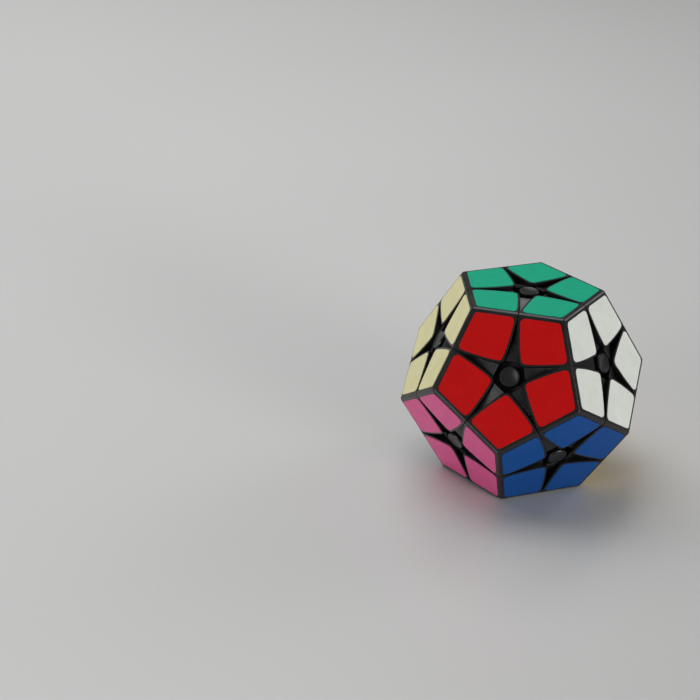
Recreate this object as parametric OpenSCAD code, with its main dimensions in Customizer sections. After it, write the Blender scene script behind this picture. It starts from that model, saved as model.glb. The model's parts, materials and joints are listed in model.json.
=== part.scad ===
// Twelve-sided twisty puzzle with two corner blocks along every edge.
// The origin is the centre of the core and +Z points up; the puzzle stands on its bottom face.
// Every face turns about its own axis inside a cut surface made of three cones: one between the
// visible heads of the corners, one between the necks and one between the feet. They are stepped,
// so each corner hooks under the hidden edges, and each edge hooks under the hubs.

/* [Body] */
// Length of one edge of the dodecahedron
edge_len = 32; // [31:0.5:34]
// Gap between pieces that slide past each other
running_gap = 0.3; // [0.2:0.05:0.35]
// Half-angle of the cone that cuts the heads of the corners apart
cut_angle = 65; // [64:0.5:66.5]
// Rounding of the body's edges that the chamfers stand for
edge_round = 1.5; // [0.8:0.1:2]

/* [Stickers] */
// Thickness of a sticker
sticker_thick = 0.2; // [0.1:0.05:0.3]
// Black border between a sticker and the edge of its face
sticker_border = 1.45; // [1:0.05:2]
// Black border between a sticker and the cut beside the star
sticker_cut_border = 0.9; // [0.6:0.05:1.4]
// Corner radius of a sticker
sticker_round = 1.6; // [0.8:0.1:2]

/* [Mechanism] */
// Half-angle of the cone between the necks
neck_angle = 50; // [49.5:0.25:50.5]
// Half-angle of the cone between the feet
foot_angle = 53.5; // [53.25:0.25:54]
// Distance from the centre at which the heads begin
head_radius = 31; // [30.5:0.25:31.25]
// Distance from the centre at which the necks begin
neck_radius = 20; // [19.5:0.25:20.5]
// Distance from the centre at which the feet begin
foot_radius = 15; // [14.75:0.25:15.25]
// Distance from the centre to the top of the ridge that fills an arm of the star
ridge_radius = 34.8; // [34:0.1:35]
// How far the ridge's ends stay back from the cut, to leave room around the cap
ridge_setback = 1.3; // [1:0.1:2]

/* [Hubs and caps] */
// Diameter of a round face cap
cap_dia = 7.2; // [6.8:0.1:7.3]
// Thickness of the cap's disc
cap_thick = 1.8; // [1.2:0.1:2.2]
// Depth of the cap's top below the plastic of the face
cap_sink = 0.4; // [0.2:0.1:0.8]
// Bevel around the cap's top
cap_bevel = 0.35; // [0.2:0.05:0.6]
// Length of the plug under the cap's disc
plug_len = 2; // [1:0.2:2.2]
// Diameter of the post that carries the cap
post_dia = 6.8; // [6.6:0.1:6.8]
// Diameter of the pocket that holds the spring and the screw's head
pocket_dia = 5.2; // [5.1:0.1:5.4]
// Distance from the centre to the pocket's floor
pocket_floor = 22.5; // [22:0.25:23]
// Distance from the centre to the top of the hub's flange
flange_top = 28.6; // [28:0.2:29]

/* [Core, screws and springs] */
// Diameter of the core ball
core_dia = 22; // [20:1:24]
// Diameter of a screw boss on the core
boss_dia = 6; // [5.4:0.2:6.2]
// Distance from the centre to the end of a boss
boss_top = 14.2; // [14:0.1:14.3]
// Diameter of a screw's shank
shank_dia = 2.3; // [2:0.1:2.4]
// Diameter of a screw's head
head_dia = 4.4; // [4:0.1:4.6]
// Height of a screw's head
head_h = 1.6; // [1.2:0.1:1.8]
// Distance from the centre to a screw's tip
screw_tip = 7; // [6.5:0.5:8]
// Distance from the centre to the underside of a screw's head
head_seat = 28.6; // [28.2:0.1:28.8]
// Outer diameter of a washer
washer_dia = 4.8; // [4.4:0.1:4.9]
// Thickness of a washer
washer_thick = 0.5; // [0.4:0.1:0.6]
// Mean diameter of a spring's coil
coil_dia = 3.8; // [3.6:0.1:4]
// Wire diameter of a spring
wire_dia = 0.5; // [0.4:0.05:0.6]
// Turns of a spring
spring_turns = 4; // [3:1:5]

/* [Hidden] */
$fn = 96;
// The golden ratio, from which every angle and distance of a dodecahedron follows
phi = (1 + sqrt(5)) / 2;
// Distances from the centre to a face, to the middle of an edge and to a vertex
face_dist = edge_len * pow(phi, 2) / (2 * sqrt(3 - phi));
mid_dist = edge_len * pow(phi, 2) / 2;
vertex_dist = edge_len * phi * sqrt(3) / 2;
// Distance in a face from its centre to the middle of a side
apothem = edge_len / (2 * tan(36));
// Angles seen from the centre: between the axes of two neighbouring faces, from the axis of a
// face to the middle of its side and to its vertex, from the middle of an edge to its vertex,
// and from the axis of a face to the middle of an edge that leaves one of its vertices
face_angle = acos(1 / sqrt(5));
side_angle = face_angle / 2;
vertex_angle = acos(face_dist / vertex_dist);
half_edge_angle = acos(mid_dist / vertex_dist);
end_angle = 90 - side_angle;
// Height on a face axis of the tip of the outer cutting cone, which passes through the middles
// of the five edges that leave the face's vertices
cut_apex = mid_dist * (cos(end_angle) - sin(end_angle) / tan(cut_angle));
half_gap = running_gap / 2;
// Overlap that fuses two zones of one piece, play between a small fixed and turning part, and
// how far a cutter runs past the surface that it opens
fuse = 0.8;
play = 0.08;
overcut = 1;
// Depth to which a boss is rooted in the core ball
boss_root = 2;
// A reach past the whole puzzle, for half-spaces and cones
far = 60;
// Chamfers on edges and vertices touch the rounding that they stand for
chamfer_dist = mid_dist - edge_round * (1 / cos(side_angle) - 1);
tip_dist = edge_round + vertex_dist * (1 - edge_round / face_dist);

// Faces: tilt from +Z, azimuth, spin that points a side along local +X, name and colour
function ring_of_faces(tilt, start, spin, looks) =
    [for (k = [0:4]) [tilt, start + 72 * k, spin, looks[k][0], looks[k][1]]];
FACES = concat(
    [[0, -90, 0, "green", [0.10, 0.60, 0.44]]],
    ring_of_faces(face_angle, -90, 36, [
        ["red", [0.72, 0.05, 0.06]], ["white", [0.88, 0.88, 0.85]],
        ["purple", [0.36, 0.16, 0.55]], ["skyblue", [0.35, 0.65, 0.85]],
        ["cream", [0.90, 0.88, 0.62]]]),
    ring_of_faces(180 - face_angle, -54, 0, [
        ["blue", [0.10, 0.24, 0.52]], ["yellow", [0.95, 0.80, 0.08]],
        ["orange", [0.92, 0.42, 0.06]], ["grey", [0.50, 0.51, 0.52]],
        ["pink", [0.85, 0.35, 0.60]]]),
    [[180, 54, 0, "lime", [0.50, 0.78, 0.18]]]);

// Corners: tilt and azimuth of the vertex, and the spin that points a face axis along local +X
CORNERS = [for (k = [0:4]) each [
    [vertex_angle, -54 + 72 * k, 60],
    [vertex_angle + 2 * half_edge_angle, -54 + 72 * k, 0],
    [180 - vertex_angle - 2 * half_edge_angle, -90 + 72 * k, 60],
    [180 - vertex_angle, -90 + 72 * k, 0]]];

// Edges: tilt and azimuth of the edge's middle, and the spin that points one of the two faces
// that share it along local +X
EDGES = [for (k = [0:4]) each [
    [side_angle, -90 + 72 * k, 0],
    [end_angle, -54 + 72 * k, 90],
    [90, -72 + 72 * k, side_angle],
    [90, -36 + 72 * k, -side_angle],
    [180 - end_angle, -90 + 72 * k, 90],
    [180 - side_angle, -54 + 72 * k, 0]]];

// Three faces with no corner in common turn as layers, and all else stays with the core
LAYERS = ["front", "back", "base", "fixed"];
FIXED = 3;
TURNING = [FACES[1], FACES[3], FACES[11]];

function toward(tilt, az) = [sin(tilt) * cos(az), sin(tilt) * sin(az), cos(tilt)];
function spun(v, a) = [v.x * cos(a) - v.y * sin(a), v.x * sin(a) + v.y * cos(a), v.z];
function tilted(v, a) = [v.x * cos(a) + v.z * sin(a), v.y, v.z * cos(a) - v.x * sin(a)];
function placed(v, p) = spun(tilted(spun(v, p[2]), p[0]), p[1]);
// A piece belongs to the turning face that it lies within 45 degrees of, if there is one
function layer_of(v) =
    let (own = [for (g = [0:2]) if (v * toward(TURNING[g][0], TURNING[g][1]) > cos(45)) g])
    len(own) > 0 ? own[0] : FIXED;
function in_layer(places, g) = [for (p = places) if (layer_of(toward(p[0], p[1])) == g) p];
// The five sticker places of a face are at its vertices
function sticker_places(face, g) =
    [for (k = [0:4]) if (layer_of(placed(toward(vertex_angle, 36 + 72 * k), face)) == g) k];

CORNER_COUNT = 5;

// Puts children made around +Z onto a face axis, a vertex or the middle of an edge
module place(p) {
    rotate([0, p[0], p[1]]) rotate(p[2]) children();
}

// Everything inside a cone around a face axis; side is -1 for a piece inside the cut, which
// stays half a gap short of it, and 1 for the space to leave free in a piece outside it
module cut_cone(angle, side, apex = 0) {
    tip = apex - side * half_gap / sin(angle);
    translate([0, 0, tip]) cylinder(h = far, r1 = 0, r2 = far * tan(angle));
}

// Everything below a plane across the +Z axis
module below(height) {
    translate([-far, -far, height - 2 * far]) cube(2 * far);
}

// A solid ball shell between two distances from the centre
module shell(inner, outer) {
    difference() {
        sphere(outer);
        sphere(inner);
    }
}

// The three face axes that meet at a corner, and the three edges between them
module corner_axis(k) {
    rotate([0, vertex_angle, 120 * k]) children();
}
module corner_edge(k) {
    rotate([0, half_edge_angle, 60 + 120 * k]) children();
}

// Visible head of a corner, with its vertex on +Z and a kite on each of its three faces
module corner_head() {
    difference() {
        intersection() {
            corner_axis(0) below(face_dist);
            corner_axis(1) below(face_dist);
            corner_axis(2) below(face_dist);
            corner_edge(0) below(chamfer_dist);
            corner_edge(1) below(chamfer_dist);
            corner_edge(2) below(chamfer_dist);
            below(tip_dist);
            corner_axis(0) cut_cone(cut_angle, -1, cut_apex);
            corner_axis(1) cut_cone(cut_angle, -1, cut_apex);
            corner_axis(2) cut_cone(cut_angle, -1, cut_apex);
        }
        sphere(head_radius + half_gap);
    }
}

// Round neck or foot of a corner: it turns inside a cut of the given half-angle, so it takes up
// what that cut leaves around the corner's own axis
module corner_stem(cut, inner, outer) {
    intersection() {
        cut_cone(cut - vertex_angle, -1);
        shell(inner, outer);
    }
}

module corner(p) {
    place(p) color([0.08, 0.08, 0.09]) union() {
        corner_head();
        corner_stem(neck_angle, neck_radius - fuse, head_radius + fuse);
        corner_stem(foot_angle, foot_radius + half_gap, neck_radius - half_gap);
    }
}

// The two faces that share an edge, and the two that lie beyond its ends
module edge_side(k) {
    rotate([0, side_angle, 180 * k]) children();
}
module edge_end(k) {
    rotate([0, end_angle, 90 + 180 * k]) children();
}

// Ridge of a hidden edge: it fills the gap between the heads of two corners and shows there. It
// passes over the bodies of other edges with a gap, and its root is as narrow as its own body
module edge_ridge() {
    difference() {
        union() {
            intersection() {
                edge_side(0) cut_cone(cut_angle, -1, cut_apex + ridge_setback);
                edge_side(1) cut_cone(cut_angle, -1, cut_apex + ridge_setback);
                shell(head_radius + half_gap, ridge_radius);
            }
            intersection() {
                edge_side(0) cut_cone(neck_angle, -1);
                edge_side(1) cut_cone(neck_angle, -1);
                shell(head_radius - half_gap - fuse, head_radius + half_gap + fuse);
            }
        }
        edge_end(0) cut_cone(cut_angle, 1, cut_apex);
        edge_end(1) cut_cone(cut_angle, 1, cut_apex);
    }
}

// A zone of a hidden edge: inside the cuts of its own faces and outside those beyond its ends
module edge_zone(side_cut, end_cut, inner, outer) {
    difference() {
        intersection() {
            edge_side(0) cut_cone(side_cut, -1);
            edge_side(1) cut_cone(side_cut, -1);
            shell(inner, outer);
        }
        edge_end(0) cut_cone(end_cut, 1);
        edge_end(1) cut_cone(end_cut, 1);
    }
}

// Hidden edge with its middle on +Z: a ridge, a body between the corners' necks, a web and a foot
module hidden_edge(p) {
    place(p) color([0.16, 0.16, 0.17]) union() {
        edge_ridge();
        edge_zone(neck_angle, neck_angle, neck_radius + half_gap, head_radius - half_gap);
        edge_zone(neck_angle, foot_angle, neck_radius - fuse, neck_radius + fuse);
        edge_zone(foot_angle, foot_angle, foot_radius + half_gap, neck_radius - half_gap);
    }
}

// Radius of the room that the neighbouring cuts leave around a face axis at a height
function room(cut, height) = height * tan(face_angle - cut) - half_gap / cos(face_angle - cut);

// A cone frustum that fills that room between two heights
module room_frustum(cut, low, high) {
    translate([0, 0, low]) cylinder(h = high - low, r1 = room(cut, low) - play,
        r2 = room(cut, high) - play);
}

// Hub: a stem on the core, a flange that holds the edges down and a post for the cap
module hub(p) {
    stem_base = boss_top + play;
    post_top = face_dist - cap_sink - cap_thick;
    place(p) color([0.10, 0.10, 0.11]) difference() {
        union() {
            room_frustum(foot_angle, stem_base, neck_radius + fuse);
            difference() {
                room_frustum(neck_angle, neck_radius - fuse, flange_top);
                sphere(neck_radius + half_gap);
            }
            translate([0, 0, flange_top - fuse]) cylinder(h = post_top - flange_top + fuse,
                d = post_dia);
        }
        translate([0, 0, stem_base - overcut]) cylinder(h = far, d = shank_dia + 2 * play);
        translate([0, 0, pocket_floor]) cylinder(h = far, d = pocket_dia);
    }
}

// Round cap with a bevelled rim and a plug that sits in the hub's pocket
module cap(p) {
    top = face_dist - cap_sink;
    place(p) color([0.09, 0.09, 0.10]) union() {
        translate([0, 0, top - cap_thick]) cylinder(h = cap_thick - cap_bevel, d = cap_dia);
        translate([0, 0, top - cap_bevel]) cylinder(h = cap_bevel, d1 = cap_dia,
            d2 = cap_dia - 2 * cap_bevel);
        translate([0, 0, top - cap_thick - plug_len]) cylinder(h = plug_len + fuse,
            d = pocket_dia - 2 * play);
    }
}

// Core ball with a drilled boss for each screw; the spins keep the seam lines of ball, bosses
// and bores apart
module core() {
    color([0.75, 0.75, 0.72]) difference() {
        union() {
            sphere(d = core_dia);
            for (f = FACES) place(f) rotate(20) translate([0, 0, core_dia / 2 - boss_root])
                cylinder(h = boss_top - core_dia / 2 + boss_root, d = boss_dia);
        }
        for (f = FACES) place(f) rotate(50) translate([0, 0, screw_tip - fuse])
            cylinder(h = boss_top, d = shank_dia);
    }
}

// Pan-head screw with a cross recess
module screw(p) {
    slot_w = 0.6;
    slot_len = 2.6;
    slot_depth = 0.9;
    place(p) color([0.75, 0.76, 0.78]) difference() {
        union() {
            translate([0, 0, screw_tip]) cylinder(h = head_seat - screw_tip + fuse, d = shank_dia);
            translate([0, 0, head_seat]) cylinder(h = head_h, d = head_dia);
        }
        for (turn = [0, 90]) rotate(turn)
            translate([-slot_len / 2, -slot_w / 2, head_seat + head_h - slot_depth])
                cube([slot_len, slot_w, slot_depth + overcut]);
    }
}

module washer(p) {
    place(p) color([0.80, 0.80, 0.82]) translate([0, 0, head_seat - washer_thick])
        difference() {
            cylinder(h = washer_thick, d = washer_dia);
            translate([0, 0, -overcut]) cylinder(h = washer_thick + 2 * overcut,
                d = shank_dia + 2 * play);
        }
}

// Helical spring between the pocket's floor and the washer
spring_low = pocket_floor + wire_dia / 2 + play;
spring_high = head_seat - washer_thick - wire_dia / 2 - play;
spring_steps = 9;
wire_sides = 5;
spring_rings = spring_turns * spring_steps;
function spring_point(i, j) =
    let (a = 360 * i / spring_steps, b = 360 * j / wire_sides,
         r = (coil_dia + wire_dia * cos(b)) / 2,
         z = spring_low + (spring_high - spring_low) * i / spring_rings)
    [r * cos(a), r * sin(a), z + wire_dia / 2 * sin(b)];
module spring(p) {
    points = [for (i = [0:spring_rings], j = [0:wire_sides - 1]) spring_point(i, j)];
    last = spring_rings * wire_sides;
    walls = [for (i = [0:spring_rings - 1], j = [0:wire_sides - 1])
        let (a = i * wire_sides, n = (j + 1) % wire_sides)
        [a + j, a + n, a + n + wire_sides, a + j + wire_sides]];
    ends = [[for (j = [wire_sides - 1:-1:0]) j], [for (j = [0:wire_sides - 1]) last + j]];
    place(p) color([0.70, 0.70, 0.74]) polyhedron(points, concat(walls, ends), convexity = 6);
}

// Distance in a face from its centre to the cut of a neighbouring face, in the direction that
// makes the given angle with the way towards that neighbour: a plane meets a cone there
function cut_reach(angle) =
    let (a = face_dist * cos(face_angle), b = cos(angle) * sin(face_angle),
         t = pow(tan(cut_angle), 2),
         qa = 1 - b * b * (1 + t),
         qb = -2 * a * b - 2 * (a - cut_apex) * b * t,
         qc = face_dist * face_dist - a * a - pow(a - cut_apex, 2) * t)
    (-qb - sqrt(qb * qb - 4 * qa * qc)) / (2 * qa);
// The same point in a kite's own plane, with the face centre at the origin and its vertex on +Y
function cut_point(angle) = cut_reach(angle) * [sin(angle - 36), cos(angle - 36)];
function circle_centre(a, b, c) =
    let (d = 2 * (a.x * (b.y - c.y) + b.x * (c.y - a.y) + c.x * (a.y - b.y)))
    [(a * a) * (b.y - c.y) + (b * b) * (c.y - a.y) + (c * c) * (a.y - b.y),
     (a * a) * (c.x - b.x) + (b * b) * (a.x - c.x) + (c * c) * (b.x - a.x)] / d;
function heading(v) = atan2(v.y, v.x);
function arc(centre, r, from, to, steps) =
    [for (i = [0:steps]) let (a = from + (to - from) * i / steps)
        centre + r * [cos(a), sin(a)]];

// Right half of a sticker's outline: rounded tip, bowed side along the cut, rounded side
// corner, straight side along the face's edge and rounded outer corner
bow_centre = circle_centre(cut_point(36), cut_point(54), cut_point(72));
bow_radius = norm(cut_point(54) - bow_centre) - sticker_cut_border;
inner_bow = bow_radius - sticker_round;
side_normal = [sin(36), cos(36)];
side_inset = apothem - sticker_border - sticker_round;
tip_point = [0, bow_centre.y - sqrt(pow(inner_bow, 2) - pow(bow_centre.x, 2))];
outer_point = [0, side_inset / cos(36)];
side_reach = side_inset - bow_centre * side_normal;
side_point = bow_centre + side_reach * side_normal
    + sqrt(pow(inner_bow, 2) - pow(side_reach, 2)) * [side_normal.y, -side_normal.x];
half_outline = concat(
    arc(tip_point, sticker_round, -90, heading(tip_point - bow_centre), 3),
    arc(bow_centre, bow_radius, heading(tip_point - bow_centre),
        heading(side_point - bow_centre), 6),
    arc(side_point, sticker_round, heading(side_point - bow_centre), 54, 6),
    arc(outer_point, sticker_round, 54, 90, 3));
// Neighbouring arcs share their end point, so each run leaves out its last one
sticker_half = [for (i = [0:len(half_outline) - 2])
    if (norm(half_outline[i] - half_outline[i + 1]) > 0.001) half_outline[i]];
sticker_outline = concat(
    sticker_half,
    [[0, outer_point.y + sticker_round]],
    [for (i = [len(sticker_half) - 1:-1:1]) [-sticker_half[i].x, sticker_half[i].y]]);

module stickers(face, g) {
    color(face[4]) for (k = sticker_places(face, g))
        place(face) rotate(72 * k - 54) translate([0, 0, face_dist])
            linear_extrude(sticker_thick) polygon(sticker_outline);
}

module screws() { for (f = FACES) screw(f); }
module springs() { for (f = FACES) spring(f); }
module washers() { for (f = FACES) washer(f); }
module hubs(g) { for (f = in_layer(FACES, g)) hub(f); }
module caps(g) { for (f = in_layer(FACES, g)) cap(f); }
module hidden_edges(g) { for (e = in_layer(EDGES, g)) hidden_edge(e); }
module layer_corner(g, k) { corner(in_layer(CORNERS, g)[k - 1]); }
module corners_fixed() { for (c = in_layer(CORNERS, FIXED)) corner(c); }

core();
screws();
springs();
washers();
for (g = [0:3]) hubs(g);
for (g = [0:3]) caps(g);
for (g = [0:3]) hidden_edges(g);
for (g = [0:2], k = [1:CORNER_COUNT])
    layer_corner(g, k);
corners_fixed();
for (f = FACES, g = [0:3])
    stickers(f, g);
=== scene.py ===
"""Visual model of a twelve-sided twisty puzzle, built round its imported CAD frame.

Lengths are in metres. The origin is the centre of the core and +Z points up, so every face,
vertex and edge of the dodecahedron is found from its direction as seen from the origin.
"""

import json
import logging
import math
from contextlib import contextmanager
from dataclasses import dataclass, field
from enum import Enum
from typing import Callable, Iterator

import bpy
from mathutils import Euler, Matrix, Vector


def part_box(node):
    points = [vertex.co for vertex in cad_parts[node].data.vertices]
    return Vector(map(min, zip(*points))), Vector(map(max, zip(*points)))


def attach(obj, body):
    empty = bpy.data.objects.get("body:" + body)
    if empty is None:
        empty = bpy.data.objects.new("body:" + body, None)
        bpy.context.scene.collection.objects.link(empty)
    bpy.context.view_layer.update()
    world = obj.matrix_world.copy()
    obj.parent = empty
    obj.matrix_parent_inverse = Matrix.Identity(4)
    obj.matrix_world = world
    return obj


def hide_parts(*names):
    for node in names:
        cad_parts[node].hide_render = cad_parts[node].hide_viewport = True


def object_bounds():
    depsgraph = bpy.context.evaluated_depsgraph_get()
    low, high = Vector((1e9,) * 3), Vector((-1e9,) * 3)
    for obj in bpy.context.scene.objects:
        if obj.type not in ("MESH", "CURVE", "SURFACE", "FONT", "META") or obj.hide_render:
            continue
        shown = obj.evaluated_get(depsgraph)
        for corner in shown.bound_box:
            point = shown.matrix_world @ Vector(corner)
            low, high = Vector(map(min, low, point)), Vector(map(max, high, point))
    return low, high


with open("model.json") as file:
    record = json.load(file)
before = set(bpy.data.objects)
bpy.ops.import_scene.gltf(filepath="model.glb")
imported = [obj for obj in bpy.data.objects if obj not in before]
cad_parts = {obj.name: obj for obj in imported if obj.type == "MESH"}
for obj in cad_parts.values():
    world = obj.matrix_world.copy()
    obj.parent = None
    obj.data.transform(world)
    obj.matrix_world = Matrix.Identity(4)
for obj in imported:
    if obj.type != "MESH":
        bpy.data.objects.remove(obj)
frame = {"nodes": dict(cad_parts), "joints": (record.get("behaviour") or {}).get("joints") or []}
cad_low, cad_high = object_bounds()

LOG = logging.getLogger("twisty_puzzle")
MM = 0.001
UP = Vector((0.0, 0.0, 1.0))
# Turn from one side of a pentagon to the next, in degrees
FIFTH = 72
# Pieces within this angle of a turning axis, in degrees, belong to its layer
LAYER_REACH = 45
# A point closer than this to a flat or to a curved surface of a freshly cut block lies on it
ON_SURFACE = 0.004 * MM
ON_CURVED_SURFACE = 0.06 * MM
# Points of a head closer than this to the ball cut out under it belong to its foot
ABOVE_BALL = 0.2 * MM
# Tolerance of a flat cut, and distances at which the points left by cuts and by a spin are merged
CUT_TOLERANCE = 0.0001 * MM
CUT_MERGE = 0.02 * MM
SPIN_MERGE = 0.002 * MM
# Rings of latitude of a ball that is cut with
BALL_RINGS = 64


class Layer(Enum):
    """Rigid layers of the puzzle, each named as the CAD body it rides on."""

    FRONT = "front_layer"
    BACK = "back_layer"
    BASE = "base_layer"
    FIXED = "core_frame"

    @property
    def suffix(self) -> str:
        """Ending of the CAD nodes that belong to this layer."""
        return "fixed" if self is Layer.FIXED else self.value.split("_")[0]


@dataclass(frozen=True)
class Placement:
    """Where a master modelled round +Z stands on the puzzle.

    Args:
        tilt: Angle from +Z in degrees.
        azimuth: Compass angle from +X in degrees.
        spin: Turn about the piece's own axis in degrees, made before the tilt.
    """

    tilt: float
    azimuth: float
    spin: float = 0.0

    def matrix(self) -> Matrix:
        """Rotation that carries the master into place."""
        turn = Matrix.Rotation(math.radians(self.azimuth), 4, "Z")
        lean = Matrix.Rotation(math.radians(self.tilt), 4, "Y")
        return turn @ lean @ Matrix.Rotation(math.radians(self.spin), 4, "Z")

    def direction(self) -> Vector:
        """Unit vector from the core towards the piece."""
        return self.matrix() @ UP


@dataclass(frozen=True)
class Dodecahedron:
    """Distances and angles of the body, all worked out from the distance to a face.

    Args:
        face_dist: Distance from the centre to the plastic of a face.
    """

    face_dist: float

    @property
    def edge(self) -> float:
        """Length of an edge."""
        phi = (1 + math.sqrt(5)) / 2
        return self.face_dist * 2 * math.sqrt(3 - phi) / phi**2

    @property
    def edge_dist(self) -> float:
        """Distance from the centre to the middle of an edge."""
        return self.face_dist / math.cos(math.radians(self.side_angle))

    @property
    def vertex_dist(self) -> float:
        """Distance from the centre to a vertex."""
        return math.hypot(self.edge_dist, self.edge / 2)

    @property
    def apothem(self) -> float:
        """Distance in a face from its centre to the middle of a side."""
        return self.edge / (2 * math.tan(math.radians(FIFTH / 2)))

    @property
    def face_angle(self) -> float:
        """Angle between the axes of two neighbouring faces, in degrees."""
        return math.degrees(math.acos(1 / math.sqrt(5)))

    @property
    def side_angle(self) -> float:
        """Angle from a face's axis to the middle of its side, in degrees."""
        return self.face_angle / 2

    @property
    def end_angle(self) -> float:
        """Angle from a face's axis to the middle of an edge beyond its vertices, in degrees."""
        return 90 - self.side_angle

    @property
    def vertex_angle(self) -> float:
        """Angle from a face's axis to its vertex, in degrees."""
        return math.degrees(math.acos(self.face_dist / self.vertex_dist))

    @property
    def half_edge_angle(self) -> float:
        """Angle from the middle of an edge to its vertex, in degrees."""
        return math.degrees(math.acos(self.edge_dist / self.vertex_dist))

    def face_places(self) -> list[Placement]:
        """Places of the twelve faces: the top, the upper ring, the lower ring, the bottom."""
        upper = [Placement(self.face_angle, -90 + FIFTH * k, FIFTH / 2) for k in range(5)]
        lower = [Placement(180 - self.face_angle, -54 + FIFTH * k) for k in range(5)]
        return [Placement(0, -90), *upper, *lower, Placement(180, 54)]

    def corner_places(self) -> list[Placement]:
        """Places of the twenty vertices, with one of their faces towards the master's +X."""
        middle = self.vertex_angle + 2 * self.half_edge_angle
        places = []
        for k in range(5):
            places.append(Placement(self.vertex_angle, -54 + FIFTH * k, 60))
            places.append(Placement(middle, -54 + FIFTH * k))
            places.append(Placement(180 - middle, -90 + FIFTH * k, 60))
            places.append(Placement(180 - self.vertex_angle, -90 + FIFTH * k))
        return places

    def edge_places(self) -> list[Placement]:
        """Places of the thirty edges, with one of their faces towards the master's +X."""
        places = []
        for k in range(5):
            places.append(Placement(self.side_angle, -90 + FIFTH * k))
            places.append(Placement(self.end_angle, -54 + FIFTH * k, 90))
            places.append(Placement(90, -FIFTH + FIFTH * k, self.side_angle))
            places.append(Placement(90, -FIFTH / 2 + FIFTH * k, -self.side_angle))
            places.append(Placement(180 - self.end_angle, -90 + FIFTH * k, 90))
            places.append(Placement(180 - self.side_angle, -54 + FIFTH * k))
        return places


def layer_of(direction: Vector) -> Layer:
    """Finds the layer that turns with a piece.

    Args:
        direction: Unit vector from the core towards the piece.

    Returns:
        The layer whose axis is within LAYER_REACH of it, or the fixed one.
    """
    for joint in frame["joints"]:
        if direction.dot(Vector(joint["axis"])) > math.cos(math.radians(LAYER_REACH)):
            return Layer(joint["child"])
    return Layer.FIXED


@dataclass(frozen=True)
class Cut:
    """A cone round a face axis, along which the pieces of a layer are parted.

    Args:
        angle: Half-angle in degrees.
        apex: Height of the cone's tip on the face axis.
        gap: Room between the pieces on the two sides of the cut.
    """

    angle: float
    apex: float = 0.0
    gap: float = 0.3 * MM

    def tip(self, side: int) -> float:
        """Height of the tip for a piece inside the cut (-1), or for the room outside it (1)."""
        return self.apex - side * self.gap / 2 / math.sin(math.radians(self.angle))

    def tool(self, axis: Matrix, side: int, reach: float, sides: int) -> bpy.types.Object:
        """Makes the solid cone that a block is cut with.

        Args:
            axis: Rotation from +Z onto the face axis.
            side: -1 to keep what is inside the cut, 1 to take that away.
            reach: Height of the cone.
            sides: Number of flat facets round it.

        Returns:
            The cone, already in its place.
        """
        radius = reach * math.tan(math.radians(self.angle))
        bpy.ops.mesh.primitive_cone_add(vertices=sides, radius1=0, radius2=radius, depth=reach)
        cone = bpy.context.object
        cone.matrix_world = axis @ Matrix.Translation((0, 0, self.tip(side) + reach / 2))
        apply_place(cone)
        return cone

    def wall_normal(self, point: Vector, axis: Matrix, side: int) -> Vector:
        """Outward normal of the cut's wall at a point.

        Args:
            point: A point on the wall.
            axis: Rotation that puts +Z on the face axis.
            side: -1 for the wall of a piece inside the cut, 1 for one outside it.

        Returns:
            The unit vector that points away from the axis.
        """
        along = axis @ UP
        ray = (point - along * self.tip(side)).normalized()
        return (ray * math.cos(math.radians(self.angle)) - along).normalized()

    def holds(self, point: Vector, axis: Matrix, side: int) -> bool:
        """Tells whether a point lies on the cut's surface."""
        along = axis @ UP
        height = point.dot(along)
        across = (point - along * height).length
        wall = self.tip(side) + across / math.tan(math.radians(self.angle))
        return abs(height - wall) < ON_CURVED_SURFACE


# ---------------------------------------------------------------- bench work


def deselect_all() -> None:
    """Leaves object mode ready for one piece of work."""
    if bpy.context.object and bpy.context.object.mode != "OBJECT":
        bpy.ops.object.mode_set(mode="OBJECT")
    bpy.ops.object.select_all(action="DESELECT")


def take(piece: bpy.types.Object) -> None:
    """Makes a piece the only selected one, and the active one."""
    deselect_all()
    piece.select_set(True)
    bpy.context.view_layer.objects.active = piece


@contextmanager
def edit(piece: bpy.types.Object, mode: str = "FACE") -> Iterator[None]:
    """Edits one piece's mesh, with everything selected at the start.

    Args:
        piece: The piece to edit.
        mode: "VERT" or "FACE".
    """
    take(piece)
    bpy.ops.object.mode_set(mode="EDIT")
    bpy.ops.mesh.select_mode(type=mode)
    bpy.ops.mesh.select_all(action="SELECT")
    yield
    bpy.ops.object.mode_set(mode="OBJECT")


def apply_place(piece: bpy.types.Object) -> None:
    """Moves a piece's place, turn and size into its mesh."""
    take(piece)
    bpy.ops.object.transform_apply(location=True, rotation=True, scale=True)


def apply_modifiers(piece: bpy.types.Object) -> None:
    """Applies every modifier of a piece, in order."""
    take(piece)
    for modifier in list(piece.modifiers):
        bpy.ops.object.modifier_apply(modifier=modifier.name)


def boolean(piece: bpy.types.Object, tool: bpy.types.Object, operation: str) -> None:
    """Cuts or joins a piece with a tool, and throws the tool away.

    Args:
        piece: The piece that stays.
        tool: A closed solid.
        operation: "INTERSECT", "DIFFERENCE" or "UNION".
    """
    cut = piece.modifiers.new("cut", "BOOLEAN")
    cut.operation = operation
    cut.solver = "MANIFOLD"
    cut.object = tool
    apply_modifiers(piece)
    bpy.data.meshes.remove(tool.data)


def cut_flat(piece: bpy.types.Object, normal: Vector, distance: float) -> None:
    """Cuts away everything beyond a plane and closes the cut.

    Args:
        piece: The block to cut.
        normal: The plane's outward normal.
        distance: The plane's distance from the origin.
    """
    with edit(piece):
        bpy.ops.mesh.bisect(
            plane_co=normal * distance, plane_no=normal, use_fill=True, clear_outer=True,
            threshold=CUT_TOLERANCE,
        )


def clean(piece: bpy.types.Object) -> None:
    """Merges points that the cuts left almost on top of each other."""
    with edit(piece, "VERT"):
        bpy.ops.mesh.remove_doubles(threshold=CUT_MERGE)


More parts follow.
